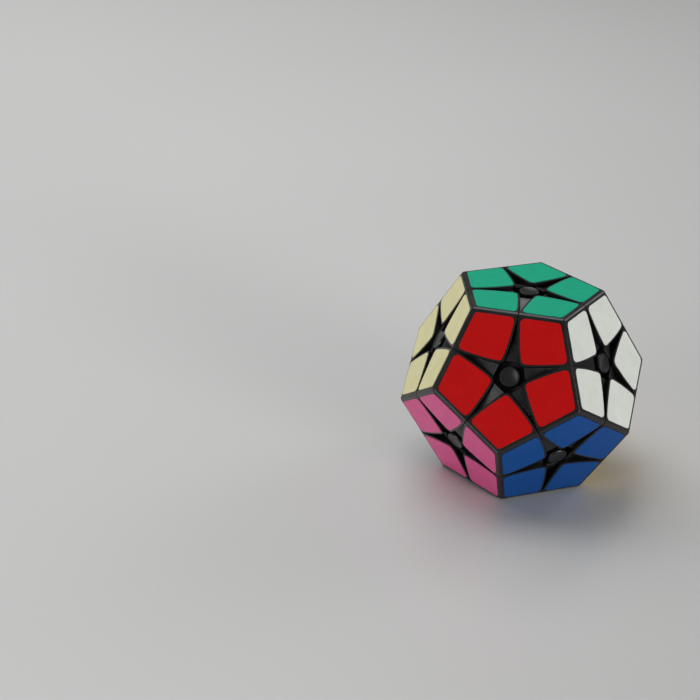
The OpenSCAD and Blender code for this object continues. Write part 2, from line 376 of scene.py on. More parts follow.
def ball(radius: float) -> bpy.types.Object:
    """Adds a ball round the origin to cut with."""
    bpy.ops.mesh.primitive_uv_sphere_add(
        segments=2 * BALL_RINGS, ring_count=BALL_RINGS, radius=radius
    )
    return bpy.context.object


def round_edges(
    piece: bpy.types.Object, width_of: Callable[[Vector, Vector], float], segments: int
) -> None:
    """Rounds chosen edges of a piece, each to its own width, in one pass.

    Where two roundings would run into each other, all widths shrink together.

    Args:
        piece: The piece to round.
        width_of: Gives the width for an edge from its two end points, or 0 to leave it sharp.
        segments: Flats round each rounded edge.
    """
    mesh = piece.data
    points = [v.co.copy() for v in mesh.vertices]
    widths = [width_of(*(points[i] for i in e.vertices)) for e in mesh.edges]
    widest = max(widths)
    weights = mesh.attributes.new("bevel_weight_edge", "FLOAT", "EDGE")
    weights.data.foreach_set("value", [w / widest for w in widths])
    bevel = piece.modifiers.new("rounding", "BEVEL")
    bevel.limit_method = "WEIGHT"
    bevel.offset_type = "OFFSET"
    bevel.width = widest
    bevel.segments = segments
    bevel.miter_outer = "MITER_ARC"
    apply_modifiers(piece)


def touching_planes(
    point: Vector, first: Vector, second: Vector, radius: float, steps: int
) -> list[tuple[Vector, float]]:
    """Planes that touch the rounding of a sharp edge, and so cut the edge down to it.

    Args:
        point: A point of the sharp edge.
        first: Outward normal of one of the two surfaces that meet in it.
        second: Outward normal of the other surface.
        radius: Radius of the rounding.
        steps: Turns that the rounding takes from the one surface to the other.

    Returns:
        The normal of each plane and its distance from the origin.
    """
    centre = point - (first + second) * (radius / (1 + first.dot(second)))
    normals = [first.slerp(second, k / steps) for k in range(1, steps)]
    return [(normal, centre.dot(normal) + radius) for normal in normals]


def smooth(piece: bpy.types.Object, angle: float = 35.0) -> None:
    """Shades a piece smooth across soft edges and keeps its flats flat.

    Args:
        piece: The piece to shade.
        angle: Edges sharper than this many degrees stay sharp.
    """
    take(piece)
    bpy.ops.object.shade_smooth_by_angle(angle=math.radians(angle))
    weighted = piece.modifiers.new("flats", "WEIGHTED_NORMAL")
    weighted.keep_sharp = True
    weighted.weight = 90
    apply_modifiers(piece)


def lathe(name: str, profile: list[tuple[float, float]], steps: int, closed: bool) -> bpy.types.Object:
    """Spins a profile round +Z into a closed solid.

    Args:
        name: Name of the piece.
        profile: Points as (radius, height). An open profile starts and ends on the axis.
        steps: Flats round the full turn.
        closed: True for a ring, whose last point joins its first.

    Returns:
        The finished solid.
    """
    bpy.ops.mesh.primitive_plane_add(size=MM)
    piece = bpy.context.object
    piece.name = piece.data.name = name
    with edit(piece, "VERT"):
        bpy.ops.mesh.merge(type="CENTER")
        bpy.ops.transform.translate(value=(profile[0][0], 0, profile[0][1]))
        route = profile[1:] + ([profile[0]] if closed else [])
        here = profile[0]
        for point in route:
            step = (point[0] - here[0], 0, point[1] - here[1])
            bpy.ops.mesh.extrude_vertices_move(TRANSFORM_OT_translate={"value": step})
            here = point
        bpy.ops.mesh.select_all(action="SELECT")
        bpy.ops.mesh.spin(steps=steps, angle=2 * math.pi, center=(0, 0, 0), axis=(0, 0, 1))
        bpy.ops.mesh.select_all(action="SELECT")
        bpy.ops.mesh.remove_doubles(threshold=SPIN_MERGE)
        bpy.ops.mesh.normals_make_consistent(inside=False)
    return piece


def copy_to(master: bpy.types.Object, name: str, place: Matrix) -> bpy.types.Object:
    """Copies a master, with a mesh of its own, into its place on the puzzle.

    Args:
        master: The finished master, modelled round +Z.
        name: Name of the new piece.
        place: Rotation from +Z into place.

    Returns:
        The new piece, at the origin and unturned.
    """
    take(master)
    bpy.ops.object.duplicate(linked=False)
    piece = bpy.context.object
    piece.name = piece.data.name = name
    piece.matrix_world = place
    apply_place(piece)
    return piece


def arc(
    centre: tuple[float, float], radius: float, start: float, end: float, steps: int
) -> list[tuple[float, float]]:
    """Points along an arc.

    Args:
        centre: Centre of the arc.
        radius: Radius of the arc.
        start: Angle of the first point in degrees.
        end: Angle of the last point in degrees.
        steps: Number of steps from first to last.

    Returns:
        The points, both ends included.
    """
    turns = [math.radians(start + (end - start) * i / steps) for i in range(steps + 1)]
    return [(centre[0] + radius * math.cos(t), centre[1] + radius * math.sin(t)) for t in turns]


# ---------------------------------------------------------------- finishes


class Nodes:
    """A material's node tree, built one node at a time."""

    def __init__(self, name: str) -> None:
        """Starts a material with a single shader."""
        self.material = bpy.data.materials.new(name)
        self.material.use_nodes = True
        self.tree = self.material.node_tree
        self.shader = self.tree.nodes["Principled BSDF"]
        self.place = self.add("ShaderNodeTexCoord").outputs["Object"]

    def add(self, kind: str, **settings: object) -> bpy.types.Node:
        """Adds a node and sets its properties."""
        node = self.tree.nodes.new(kind)
        for key, value in settings.items():
            setattr(node, key, value)
        return node

    def join(self, source: bpy.types.NodeSocket, target: bpy.types.NodeSocket) -> None:
        """Links an output to an input."""
        self.tree.links.new(source, target)

    def noise(self, size: float, detail: float = 3.0) -> bpy.types.NodeSocket:
        """Noise whose grains have a given size in metres.

        Args:
            size: Size of a grain.
            detail: Octaves of finer detail.

        Returns:
            The noise's value, from 0 to 1.
        """
        noise = self.add("ShaderNodeTexNoise")
        noise.inputs["Scale"].default_value = 1 / size
        noise.inputs["Detail"].default_value = detail
        self.join(self.place, noise.inputs["Vector"])
        return noise.outputs["Fac"]

    def spread(
        self, value: bpy.types.NodeSocket, low: float, high: float, start: float = 0.3, end: float = 0.7
    ) -> bpy.types.NodeSocket:
        """Maps a value from start..end onto low..high."""
        ranged = self.add("ShaderNodeMapRange")
        self.join(value, ranged.inputs["Value"])
        for key, number in zip(("From Min", "From Max", "To Min", "To Max"), (start, end, low, high)):
            ranged.inputs[key].default_value = number
        return ranged.outputs["Result"]

    def blend(
        self, amount: bpy.types.NodeSocket, first: tuple, second: tuple
    ) -> bpy.types.NodeSocket:
        """Mixes two colours by an amount from 0 to 1."""
        mix = self.add("ShaderNodeMix", data_type="RGBA")
        self.join(amount, mix.inputs["Factor"])
        mix.inputs["A"].default_value = (*first, 1)
        mix.inputs["B"].default_value = (*second, 1)
        return mix.outputs["Result"]

    def bump(self, height: bpy.types.NodeSocket, depth: float) -> None:
        """Raises the surface by a height times a depth."""
        bump = self.add("ShaderNodeBump")
        bump.inputs["Distance"].default_value = depth
        bump.inputs["Strength"].default_value = 1.0
        self.join(height, bump.inputs["Height"])
        self.join(bump.outputs["Normal"], self.shader.inputs["Normal"])

    def polish(self, grain: float, detail: float, glossy: float, dull: float) -> None:
        """Lets the roughness wander between two limits in patches of a size."""
        patches = self.spread(self.noise(grain, detail), glossy, dull)
        self.join(patches, self.shader.inputs["Roughness"])

    def mottle(self, grain: float, first: tuple, second: tuple, detail: float = 3.0) -> None:
        """Mixes two base colours in patches of a size."""
        tone = self.blend(self.spread(self.noise(grain, detail), 0, 1), first, second)
        self.join(tone, self.shader.inputs["Base Color"])


@dataclass(frozen=True)
class MouldedPlastic:
    """Moulded plastic with a fine grain and patches that are a little more polished.

    Args:
        name: Name of the material.
        colour: Linear colour.
        gloss: Roughness of the polished and of the dull patches.
        grain: Size of the mould's grain.
        depth: Depth of that grain.
    """

    name: str
    colour: tuple[float, float, float]
    gloss: tuple[float, float] = (0.26, 0.38)
    grain: float = 0.35 * MM
    depth: float = 0.004 * MM

    def make(self) -> bpy.types.Material:
        """Builds the material."""
        nodes = Nodes(self.name)
        lighter = tuple(min(1.0, c * 1.5 + 0.002) for c in self.colour)
        nodes.mottle(9 * MM, self.colour, lighter)
        nodes.polish(4 * MM, 5, *self.gloss)
        nodes.bump(nodes.noise(self.grain, 2), self.depth)
        nodes.shader.inputs["Specular IOR Level"].default_value = 0.5
        return nodes.material


@dataclass(frozen=True)
class VinylFilm:
    """Thin coloured sticker film with a faint orange peel and a few specks of dust.

    Args:
        name: Name of the material.
        colour: Linear colour.
        gloss: Roughness of the glossy and of the dull patches.
    """

    name: str
    colour: tuple[float, float, float]
    gloss: tuple[float, float] = (0.36, 0.46)

    def make(self) -> bpy.types.Material:
        """Builds the material."""
        nodes = Nodes(self.name)
        deeper = tuple(c * 0.93 for c in self.colour)
        tone = nodes.blend(nodes.spread(nodes.noise(6 * MM), 0, 1), self.colour, deeper)
        dust = nodes.spread(nodes.noise(0.5 * MM, 2), 0, 0.35, 0.74, 0.80)
        mix = nodes.add("ShaderNodeMix", data_type="RGBA")
        nodes.join(dust, mix.inputs["Factor"])
        nodes.join(tone, mix.inputs["A"])
        mix.inputs["B"].default_value = (0.6, 0.6, 0.6, 1)
        nodes.join(mix.outputs["Result"], nodes.shader.inputs["Base Color"])
        nodes.polish(3 * MM, 4, *self.gloss)
        nodes.bump(nodes.noise(0.9 * MM, 1), 0.006 * MM)
        nodes.shader.inputs["Specular IOR Level"].default_value = 0.15
        return nodes.material


@dataclass(frozen=True)
class PlatedSteel:
    """Bright plated steel with fine drawn lines.

    Args:
        name: Name of the material.
        colour: Linear colour of the metal.
        gloss: Roughness of the bright and of the dull patches.
    """

    name: str
    colour: tuple[float, float, float]
    gloss: tuple[float, float] = (0.22, 0.4)

    def make(self) -> bpy.types.Material:
        """Builds the material."""
        nodes = Nodes(self.name)
        nodes.shader.inputs["Metallic"].default_value = 1.0
        darker = tuple(c * 0.8 for c in self.colour)
        nodes.mottle(1.5 * MM, self.colour, darker)
        nodes.polish(0.6 * MM, 4, *self.gloss)
        nodes.bump(nodes.noise(0.2 * MM, 2), 0.003 * MM)
        return nodes.material


class FaceColour(Enum):
    """Sticker colours in the order of Dodecahedron.face_places, as linear colours."""

    GREEN = (0.005, 0.395, 0.228)
    RED = (0.47, 0.002, 0.002)
    WHITE = (0.76, 0.785, 0.725)
    PURPLE = (0.105, 0.018, 0.27)
    SKYBLUE = (0.07, 0.34, 0.68)
    CREAM = (0.69, 0.65, 0.365)
    BLUE = (0.005, 0.064, 0.26)
    YELLOW = (0.82, 0.52, 0.008)
    ORANGE = (0.82, 0.14, 0.008)
    GREY = (0.19, 0.20, 0.21)
    PINK = (0.76, 0.115, 0.31)
    LIME = (0.21, 0.54, 0.025)

    @property
    def label(self) -> str:
        """The colour's name in piece, node and slot names."""
        return self.name.lower()


# ---------------------------------------------------------------- sub-assemblies


@dataclass
class Puzzle:
    """What all sub-assemblies share: the body's shape and the cuts through it.

    Args:
        film: Thickness of a sticker, which stands on the plastic of a face.
        body: The dodecahedron, without stickers.
        head_angle: Half-angle of the cut between heads, in degrees.
        head_cut: The cut between heads, through the middles of the edges.
        neck_cut: The cut between necks.
        foot_cut: The cut between feet.
        head_radius: Distance from the core at which the heads begin.
        neck_radius: Distance from the core at which the necks begin.
        foot_radius: Distance from the core at which the feet begin.
        half_gap: Half of the room between pieces that slide on each other.
        fuse: Overlap that joins two zones of one piece.
    """

    film: float = 0.2 * MM
    head_angle: float = 65.0
    body: Dodecahedron = field(init=False)
    head_cut: Cut = field(init=False)
    neck_cut: Cut = Cut(50.0)
    foot_cut: Cut = Cut(53.5)
    head_radius: float = 31 * MM
    neck_radius: float = 20 * MM
    foot_radius: float = 15 * MM
    half_gap: float = 0.15 * MM
    fuse: float = 0.8 * MM

    def __post_init__(self) -> None:
        """Works out the body from the CAD box, whose height is two faces and two stickers."""
        self.body = Dodecahedron((cad_high.z - cad_low.z) / 2 - self.film)
        end = math.radians(self.body.end_angle)
        drop = math.sin(end) / math.tan(math.radians(self.head_angle))
        self.head_cut = Cut(self.head_angle, self.body.edge_dist * (math.cos(end) - drop))

    def hand_over(self, piece: bpy.types.Object, place: Placement, group: str, slot: str) -> None:
        """Lets a piece ride on its layer and stand for its CAD node.

        Args:
            piece: The finished piece.
            place: Where it stands.
            group: Name of the CAD nodes up to the layer's name, such as "hubs_".
            slot: The record's material slot; not used.
        """
        layer = layer_of(place.direction())
        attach(piece, layer.value)
        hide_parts(f"{group}{layer.suffix}")


@dataclass
class CornerBlocks:
    """The twenty black corner blocks: head, neck and hooked foot.

    Args:
        puzzle: The shared shape.
        edge_round: Radius of the rounding between two faces, and of the vertex.
        rim_round: Width of the rounding between a face and a cut.
        tip_round: Radius of the rounding between two cuts, at the inner tip of a kite.
        facets: Flats round a whole cut cone.
        steps: Turns that the rounding of an edge or a tip takes.
        segments: Flats round a rounded rim.
        stem_steps: Flats round the neck and foot.
    """

    puzzle: Puzzle
    edge_round: float = 1.5 * MM
    rim_round: float = 0.5 * MM
    tip_round: float = 2.2 * MM
    facets: int = 288
    steps: int = 6
    segments: int = 4
    stem_steps: int = 64

    def axis(self, k: int) -> Matrix:
        """Rotation from +Z onto one of the three face axes that meet at the vertex."""
        return Placement(self.puzzle.body.vertex_angle, 120 * k).matrix()

    def normal(self, k: int) -> Vector:
        """Outward normal of one of the three faces."""
        return self.axis(k) @ UP

    def vertex_planes(self) -> list[tuple[Vector, float]]:
        """Planes that round the three edges between faces and the vertex where they meet."""
        body = self.puzzle.body
        vertex = Vector((0, 0, body.vertex_dist))
        planes = []
        for k in range(3):
            sides = self.normal(k), self.normal((k + 1) % 3)
            planes += touching_planes(vertex, *sides, self.edge_round, self.steps)
        centre = vertex * (1 - self.edge_round / body.face_dist)
        for shares in ((1, 1, 1), (2, 1, 1), (1, 2, 1), (1, 1, 2)):
            normal = sum((self.normal(k) * shares[k] for k in range(3)), Vector()).normalized()
            planes.append((normal, centre.dot(normal) + self.edge_round))
        return planes

    def tip_planes(self, block: bpy.types.Object) -> list[tuple[Vector, float]]:
        """Planes that round the inner tips of the three kites.

        Args:
            block: The head with its tips still sharp.

        Returns:
            The normal of each plane and its distance from the origin.
        """
        body, cut = self.puzzle.body, self.puzzle.head_cut
        planes = []
        for k in range(3):
            centre = self.normal(k) * body.face_dist
            tip = min((v.co for v in block.data.vertices), key=lambda p: (p - centre).length).copy()
            sides = [cut.wall_normal(tip, self.axis((k + j) % 3), -1) for j in (1, 2)]
            planes += touching_planes(tip, *sides, self.tip_round, self.steps)
        return planes

    def head(self) -> bpy.types.Object:
        """Cuts the head out of a cube with flat faces, three cones and a ball, and rounds it."""
        puzzle = self.puzzle
        size = 3 * puzzle.body.face_dist
        bpy.ops.mesh.primitive_cube_add(size=size, location=(0, 0, size / 4))
        block = bpy.context.object
        block.name = "corner_master"
        apply_place(block)
        for k in range(3):
            cut_flat(block, self.normal(k), puzzle.body.face_dist)
        for normal, distance in self.vertex_planes():
            cut_flat(block, normal, distance)
        for k in range(3):
            cone = puzzle.head_cut.tool(self.axis(k), -1, size / 2, self.facets)
            boolean(block, cone, "INTERSECT")
        boolean(block, ball(puzzle.head_radius + puzzle.half_gap), "DIFFERENCE")
        clean(block)
        tips = self.tip_planes(block)
        for normal, distance in tips:
            cut_flat(block, normal, distance)

        def on_rim(a: Vector, b: Vector) -> float:
            """The rounding's width for an edge between the head's top and its walls."""
            if min(a.length, b.length) < puzzle.head_radius + ABOVE_BALL:
                return 0.0
            walls = [all(puzzle.head_cut.holds(p, self.axis(k), -1) for p in (a, b)) for k in range(3)]
            walls += [all(abs(p.dot(n) - d) < ON_SURFACE for p in (a, b)) for n, d in tips]
            return self.rim_round if any(walls) else 0.0

        round_edges(block, on_rim, self.segments)
        return block

    def stem(self) -> bpy.types.Object:
        """Spins the round neck and the hooked foot below the head."""
        puzzle = self.puzzle
        lean = puzzle.body.vertex_angle
        neck, foot = (Cut(c.angle - lean, gap=c.gap) for c in (puzzle.neck_cut, puzzle.foot_cut))

        def ring(cut: Cut, radius: float) -> tuple[float, float]:
            """The point of a stem's cone at a distance from the core."""
            slope = math.radians(cut.angle)
            tip = cut.tip(-1)
            along = math.sqrt(radius**2 - (tip * math.sin(slope)) ** 2) - tip * math.cos(slope)
            return along * math.sin(slope), tip + along * math.cos(slope)

        low, top = puzzle.foot_radius + puzzle.half_gap, puzzle.neck_radius - puzzle.half_gap
        profile = [
            (0.0, low), ring(foot, low), ring(foot, top), ring(neck, top),
            ring(neck, puzzle.head_radius + 2 * puzzle.fuse),
            (0.0, puzzle.head_radius + 2 * puzzle.fuse),
        ]
        return lathe("corner_stem", profile, self.stem_steps, closed=False)

    def build(self, finish: bpy.types.Material) -> None:
        """Models one block and copies it to the twenty vertices.

        Args:
            finish: Material of the blocks.
        """
        master = self.head()
        boolean(master, self.stem(), "UNION")
        smooth(master)
        master.data.materials.clear()
        master.data.materials.append(finish)
        counts = {layer: 0 for layer in Layer}
        for place in self.puzzle.body.corner_places():
            layer = layer_of(place.direction())
            counts[layer] += 1
            name = f"corner_block_{layer.suffix}_{counts[layer]}"
            piece = copy_to(master, name, place.matrix())
            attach(piece, layer.value)
            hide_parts(self.node_at(piece, layer))
            LOG.info("%s rides on %s", name, layer.value)
        bpy.data.objects.remove(master)

    @staticmethod
    def node_at(piece: bpy.types.Object, layer: Layer) -> str:
        """Finds the CAD node that a block stands for.

        Args:
            piece: The block, in place.
            layer: The layer it belongs to.

        Returns:
            The node's name: the one whose box has its middle nearest to the block's.
        """
        if layer is Layer.FIXED:
            return "corners_fixed"
        middle = sum((Vector(c) for c in piece.bound_box), Vector()) / 8

        def distance(node: str) -> float:
            """How far a node's box is from the block's."""
            low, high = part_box(node)
            return ((low + high) / 2 - middle).length

        return min((f"corner_{layer.suffix}_{k}" for k in range(1, 6)), key=distance)


@dataclass
class Stickers:
    """The sixty kite stickers, five on each face.

    Args:
        puzzle: The shared shape.
        border: Black border between a sticker and the edge of its face.
        cut_border: Black border between a sticker and the cut beside the star.
        corner: Corner radius.
        rim: Width of the rounding round the sticker's top.
    """

    puzzle: Puzzle
    border: float = 1.45 * MM
    cut_border: float = 0.9 * MM
    corner: float = 1.6 * MM
    rim: float = 0.07 * MM

    def cut_point(self, angle: float) -> Vector:
        """Point of the cut in a kite's plane: face centre at the origin, vertex on +Y.

        Args:
            angle: Direction in degrees from the neighbouring face that the cut belongs to.

        Returns:
            Where the plane of the face meets that face's cutting cone.
        """
        body, cut = self.puzzle.body, self.puzzle.head_cut
        tilt = math.radians(body.face_angle)
        a = body.face_dist * math.cos(tilt)
        b = math.cos(math.radians(angle)) * math.sin(tilt)
        t = math.tan(math.radians(cut.angle)) ** 2
        square = 1 - b * b * (1 + t)
        linear = -2 * a * b - 2 * (a - cut.apex) * b * t
        constant = body.face_dist**2 - a * a - (a - cut.apex) ** 2 * t
        reach = (-linear - math.sqrt(linear**2 - 4 * square * constant)) / (2 * square)
        turn = math.radians(angle - FIFTH / 2)
        return Vector((reach * math.sin(turn), reach * math.cos(turn)))

    def outline(self) -> list[tuple[float, float]]:
        """Closed outline with a rounded tip, bowed inner sides and straight outer ones."""
        a, b, c = (self.cut_point(angle) for angle in (FIFTH / 2, 0.75 * FIFTH, FIFTH))
        double_area = 2 * (a.x * (b.y - c.y) + b.x * (c.y - a.y) + c.x * (a.y - b.y))
        aa, bb, cc = a.dot(a), b.dot(b), c.dot(c)
        bow = Vector((
            (aa * (b.y - c.y) + bb * (c.y - a.y) + cc * (a.y - b.y)) / double_area,
            (aa * (c.x - b.x) + bb * (a.x - c.x) + cc * (b.x - a.x)) / double_area,
        ))
        radius = (b - bow).length - self.cut_border
        inner = radius - self.corner
        half_side = math.radians(FIFTH / 2)
        normal = Vector((math.sin(half_side), math.cos(half_side)))
        inset = self.puzzle.body.apothem - self.border - self.corner
        tip = Vector((0, bow.y - math.sqrt(inner**2 - bow.x**2)))
        outer = Vector((0, inset / math.cos(half_side)))
        reach = inset - bow.dot(normal)
        side = bow + reach * normal + math.sqrt(inner**2 - reach**2) * Vector((normal.y, -normal.x))
        at_tip = math.degrees(math.atan2(*reversed(tip - bow)))
        at_side = math.degrees(math.atan2(*reversed(side - bow)))
        half = (
            arc(tip, self.corner, -90, at_tip, 7)
            + arc(bow, radius, at_tip, at_side, 20)[1:]
            + arc(side, self.corner, at_side, 54, 14)[1:]
            + arc(outer, self.corner, 54, 90, 7)[1:]
        )
        return half + [(-x, y) for x, y in reversed(half[1:-1])]

    def master(self) -> bpy.types.Object:
        """Lays out one sticker on the master face, round +Z, and rounds its top rim."""
        outline = self.outline()
        bpy.ops.mesh.primitive_circle_add(vertices=len(outline), radius=MM, fill_type="NGON")
        sticker = bpy.context.object
        sticker.name = "sticker_master"
        for vertex, point in zip(sticker.data.vertices, outline):
            vertex.co = (*point, self.puzzle.body.face_dist)
        with edit(sticker):
            lift = {"value": (0, 0, self.puzzle.film)}
            bpy.ops.mesh.extrude_region_move(TRANSFORM_OT_translate=lift)
            bpy.ops.mesh.select_all(action="SELECT")
            bpy.ops.mesh.normals_make_consistent(inside=False)
        top = self.puzzle.body.face_dist + self.puzzle.film

        def on_rim(a: Vector, b: Vector) -> float:
            """Rounds the rim of the top and nothing else."""
            return self.rim if min(a.z, b.z) > top - ON_SURFACE else 0.0

        round_edges(sticker, on_rim, 3)
        smooth(sticker, 40)
        return sticker

    def build(self) -> None:
        """Copies the sticker to the five kites of each face in the face's colour."""
        master = self.master()
        for colour, face in zip(FaceColour, self.puzzle.body.face_places()):
            finish = VinylFilm(f"vinyl_{colour.label}", colour.value).make()
            for k in range(5):
                spin = Matrix.Rotation(math.radians(FIFTH * k - 54), 4, "Z")
                name = f"sticker_{colour.label}_{k + 1}"
                piece = copy_to(master, name, face.matrix() @ spin)
                piece.data.materials.append(finish)
                vertex = Placement(self.puzzle.body.vertex_angle, 90).direction()
                layer = layer_of(face.matrix() @ spin @ vertex)
                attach(piece, layer.value)
                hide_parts(f"stickers_{colour.label}_{layer.suffix}")
            LOG.info("five %s stickers laid", colour.label)
        bpy.data.objects.remove(master)


@dataclass
class HiddenEdges:
    """The thirty hidden edges, whose tops show down in the arms of each star.

    Args:
        puzzle: The shared shape.
        ridge_radius: Distance from the core to the top of the ridge in an arm of the star.
        ridge_setback: How far the ridge's ends stay back from the cut.
        top_round: Width of the rounding round the visible top.
        end_round: Width of the rounding of the upright edges at the two ends.
        facets: Flats round a whole cut cone.
        top_facets: Flats round the whole cylinder that the ridge's top is part of.
        segments: Flats round a rounded edge.
    """

    puzzle: Puzzle
    ridge_radius: float = 34.8 * MM
    ridge_setback: float = 1.3 * MM
    top_round: float = 0.55 * MM
    end_round: float = 1.4 * MM
    facets: int = 144
    top_facets: int = 72
    segments: int = 4

    def side_axis(self, k: int) -> Matrix:
        """Rotation onto the axis of one of the two faces that share the edge."""
        return Placement(self.puzzle.body.side_angle, 180 * k).matrix()

    def end_axis(self, k: int) -> Matrix:
        """Rotation onto the axis of one of the two faces beyond the edge's ends."""
        return Placement(self.puzzle.body.end_angle, 90 + 180 * k).matrix()

    def zone(
        self, block: bpy.types.Object, side_cut: Cut, end_cut: Cut, inner: float
    ) -> bpy.types.Object:
        """Cuts one zone of the piece out of a ball or a cylinder.

        Args:
            block: The solid whose skin is the zone's top.
            side_cut: Cut of the two faces that share the edge, which the zone is inside.
            end_cut: Cut of the two faces beyond its ends, which the zone is outside.
            inner: Distance of the zone's floor from the core.

        Returns:
            The zone as a closed solid.
        """
        reach = 3 * self.puzzle.head_radius
        for k in range(2):
            cone = side_cut.tool(self.side_axis(k), -1, reach, self.facets)
            boolean(block, cone, "INTERSECT")
        for k in range(2):
            cone = end_cut.tool(self.end_axis(k), 1, reach, self.facets)
            boolean(block, cone, "DIFFERENCE")
        boolean(block, ball(inner), "DIFFERENCE")
        clean(block)
        return block

    def ridge_width(self, a: Vector, b: Vector) -> float:
        """Width of rounding for the ridge's edge between two points.

        Args:
            a: One end.
            b: The other end.

        Returns:
            The width, or 0 for an edge within one surface or at the ridge's foot.
        """
        puzzle = self.puzzle
        if max(a.length, b.length) < puzzle.head_radius:
            return 0.0
        walls = [
            all(cut.holds(p, axis(k), side) for p in (a, b))
            for cut, axis, side in (
                (self.ridge_cut, self.side_axis, -1), (puzzle.head_cut, self.end_axis, 1)
            )
            for k in range(2)
        ]
        low = min(math.hypot(p.x, p.z) for p in (a, b))
        if low > self.ridge_radius - ON_CURVED_SURFACE and any(walls):
            return self.top_round
        return self.end_round if sum(walls) == 2 and any(walls[:2]) else 0.0

    @property
    def ridge_cut(self) -> Cut:
        """Cut that the two ends of the ridge are inside."""
        cut = self.puzzle.head_cut
        return Cut(cut.angle, cut.apex + self.ridge_setback, cut.gap)

    def build(self, finish: bpy.types.Material) -> None:
        """Models one hidden edge and copies it to the thirty edges.

        Args:
            finish: Material of the pieces, a black painted lighter than the blocks' black as painted
                sheen on the edge tops.
        """
        puzzle = self.puzzle
        neck, foot, gap = puzzle.neck_cut, puzzle.foot_cut, puzzle.half_gap
        bpy.ops.mesh.primitive_cylinder_add(
            vertices=self.top_facets, radius=self.ridge_radius, depth=puzzle.body.edge,
            rotation=(math.pi / 2, 0, 0),
        )
        master = bpy.context.object
        master.name = "edge_master"
        apply_place(master)
        self.zone(master, self.ridge_cut, puzzle.head_cut, puzzle.head_radius + gap)
        round_edges(master, self.ridge_width, self.segments)
        root_ball = ball(puzzle.head_radius + gap + puzzle.fuse)
        root = self.zone(root_ball, neck, puzzle.head_cut, puzzle.head_radius - gap - puzzle.fuse)
        boolean(master, root, "UNION")
        body = self.zone(ball(puzzle.head_radius - gap), neck, neck, puzzle.neck_radius + gap)
        boolean(master, body, "UNION")
        web_ball = ball(puzzle.neck_radius + puzzle.fuse)
        web = self.zone(web_ball, neck, foot, puzzle.neck_radius - puzzle.fuse)
        boolean(master, web, "UNION")
        hook = self.zone(ball(puzzle.neck_radius - gap), foot, foot, puzzle.foot_radius + gap)
        boolean(master, hook, "UNION")
        smooth(master)
        master.data.materials.clear()
        master.data.materials.append(finish)
        for k, place in enumerate(puzzle.body.edge_places()):
            piece = copy_to(master, f"hidden_edge_{k + 1}", place.matrix())
            puzzle.hand_over(piece, place, "edges_", "edge_plastic")
        LOG.info("thirty hidden edges in place")
        bpy.data.objects.remove(master)


